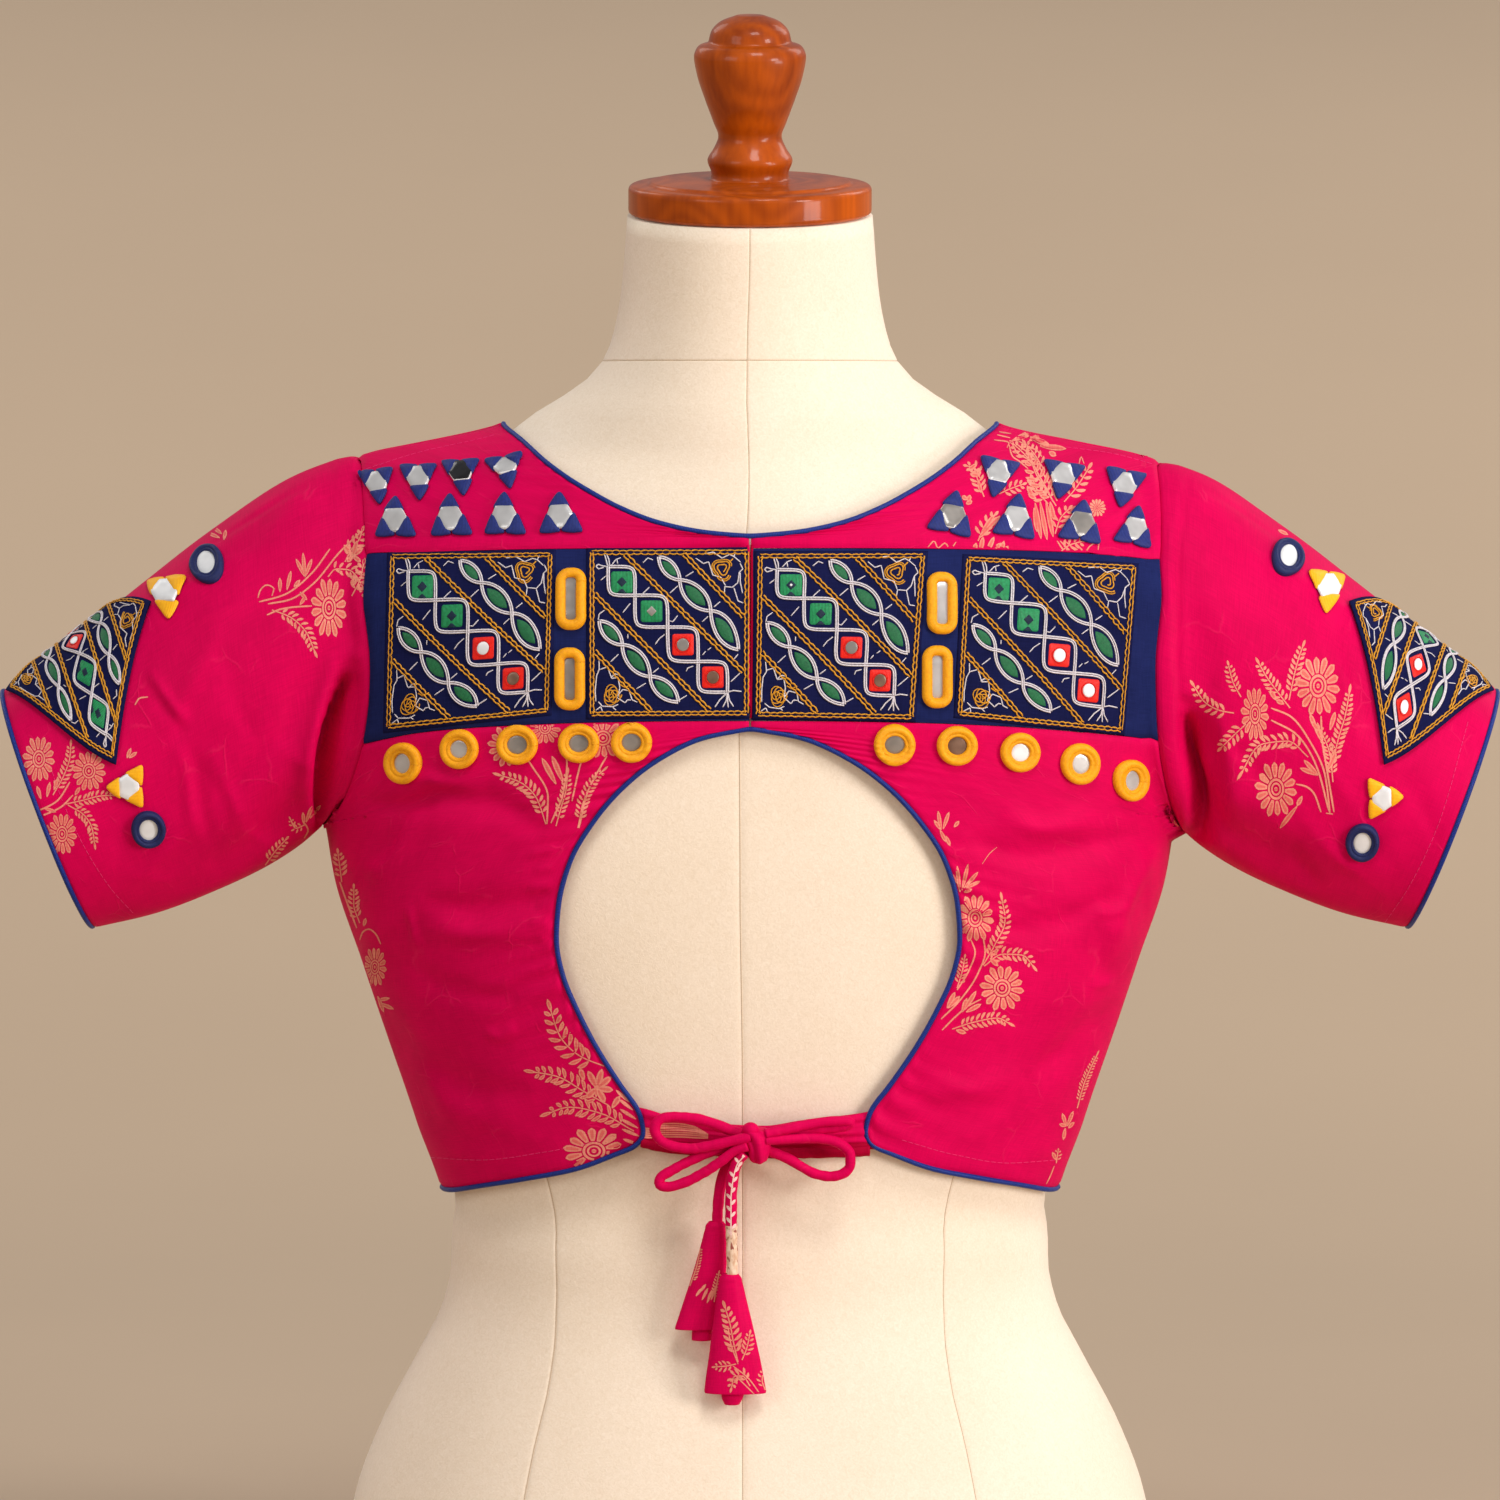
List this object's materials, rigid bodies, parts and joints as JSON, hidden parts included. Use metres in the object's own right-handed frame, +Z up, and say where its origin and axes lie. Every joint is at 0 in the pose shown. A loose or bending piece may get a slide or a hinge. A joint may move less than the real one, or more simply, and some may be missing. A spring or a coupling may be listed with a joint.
{
  "type": "choli blouse on a limbless dress form",
  "caption": "Short cropped choli blouse with keyhole back, flared short sleeves, mirror embroidery and a tied bow, standing on a limbless dress form with a turned wooden neck cap",
  "frame": {"origin": "centre of the form's flat base, on the surface it stands on", "axes": "+Z up the form's neck; -Y the way the garment's back faces; +X the wearer's right"},
  "size_m": [0.6532, 0.2361, 0.7208],
  "materials": {
    "pink_cloth": "raw silk, woven, soft sheen",
    "navy_cloth": "plain cotton under dense hand embroidery",
    "blue_piping": "bias piping, satin",
    "yellow_thread": "thick satin stitch round a mirror",
    "navy_thread": "navy cloth stitched round a mirror",
    "form_cloth": "cream linen jersey stretched over the form",
    "turned_wood": "varnished, turned"
  },
  "bodies": {
    "root": {"back_band_left": "navy_cloth", "back_band_right": "navy_cloth", "back_oblong_26": "yellow_thread", "back_oblong_27": "yellow_thread", "back_oblong_28": "yellow_thread", "back_oblong_29": "yellow_thread", "back_ring_16": "yellow_thread", "back_ring_17": "yellow_thread", "back_ring_18": "yellow_thread", "back_ring_19": "yellow_thread", "back_ring_20": "yellow_thread", "back_ring_21": "yellow_thread", "back_ring_22": "yellow_thread", "back_ring_23": "yellow_thread", "back_ring_24": "yellow_thread", "back_ring_25": "yellow_thread", "back_triangle_01": "navy_thread", "back_triangle_02": "navy_thread", "back_triangle_03": "navy_thread", "back_triangle_04": "navy_thread", "back_triangle_05": "navy_thread", "back_triangle_06": "navy_thread", "back_triangle_07": "navy_thread", "back_triangle_08": "navy_thread", "back_triangle_09": "navy_thread", "back_triangle_10": "navy_thread", "back_triangle_11": "navy_thread", "back_triangle_12": "navy_thread", "back_triangle_13": "navy_thread", "back_triangle_14": "navy_thread", "back_triangle_15": "navy_thread", "back_yoke_left": "pink_cloth", "back_yoke_right": "pink_cloth", "bow": "pink_cloth", "cuff_piping_left": "blue_piping", "cuff_piping_right": "blue_piping", "edge_piping": "blue_piping", "form_cap_and_finial": "turned_wood", "form_torso": "form_cloth", "front": "pink_cloth", "lower_back_left": "pink_cloth", "lower_back_right": "pink_cloth", "neck_piping": "blue_piping", "sleeve_bright_triangle_02": "yellow_thread", "sleeve_bright_triangle_03": "yellow_thread", "sleeve_bright_triangle_06": "yellow_thread", "sleeve_bright_triangle_07": "yellow_thread", "sleeve_dark_ring_01": "navy_thread", "sleeve_dark_ring_04": "navy_thread", "sleeve_dark_ring_05": "navy_thread", "sleeve_dark_ring_08": "navy_thread", "sleeve_left": "pink_cloth", "sleeve_right": "pink_cloth", "sleeve_square_left": "navy_cloth", "sleeve_square_right": "navy_cloth", "tassel_front": "pink_cloth", "tassel_side": "pink_cloth", "tie_end_plain": "pink_cloth", "tie_end_printed": "pink_cloth", "tie_strap": "pink_cloth"}
  },
  "joints": []
}
